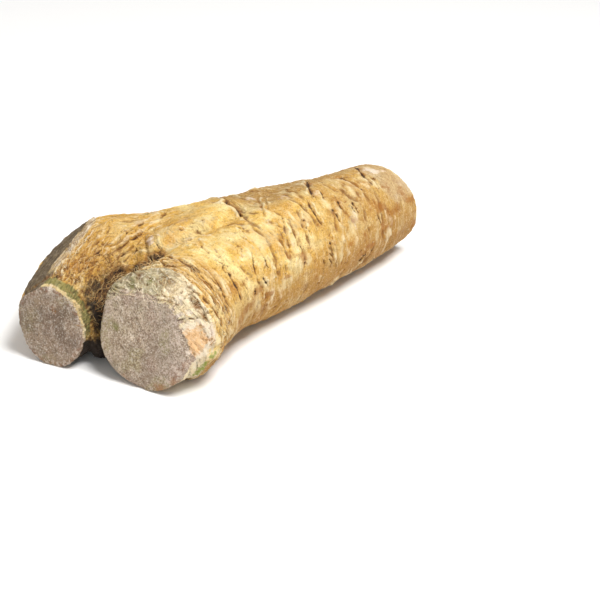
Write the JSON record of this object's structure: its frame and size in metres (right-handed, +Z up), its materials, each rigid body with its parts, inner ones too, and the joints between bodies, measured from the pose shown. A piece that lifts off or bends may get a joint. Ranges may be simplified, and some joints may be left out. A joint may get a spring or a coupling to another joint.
{
  "type": "horseradish root",
  "caption": "Stout forked horseradish root lying on its side, with fibrous tan bark and dried cut ends, kept whole for grating or slicing.",
  "frame": {"origin": "on the surface that the root rests on, under the middle of its bounding box", "axes": "+X along the root from the cut crowns to the cut tail, +Y toward the smaller crown limb, +Z up"},
  "size_m": [0.2352, 0.1332, 0.0628],
  "materials": {
    "bark": "dry, fibrous, dull tan bark over pale flesh"
  },
  "bodies": {
    "root": {"horseradish_root": "bark"}
  },
  "joints": []
}
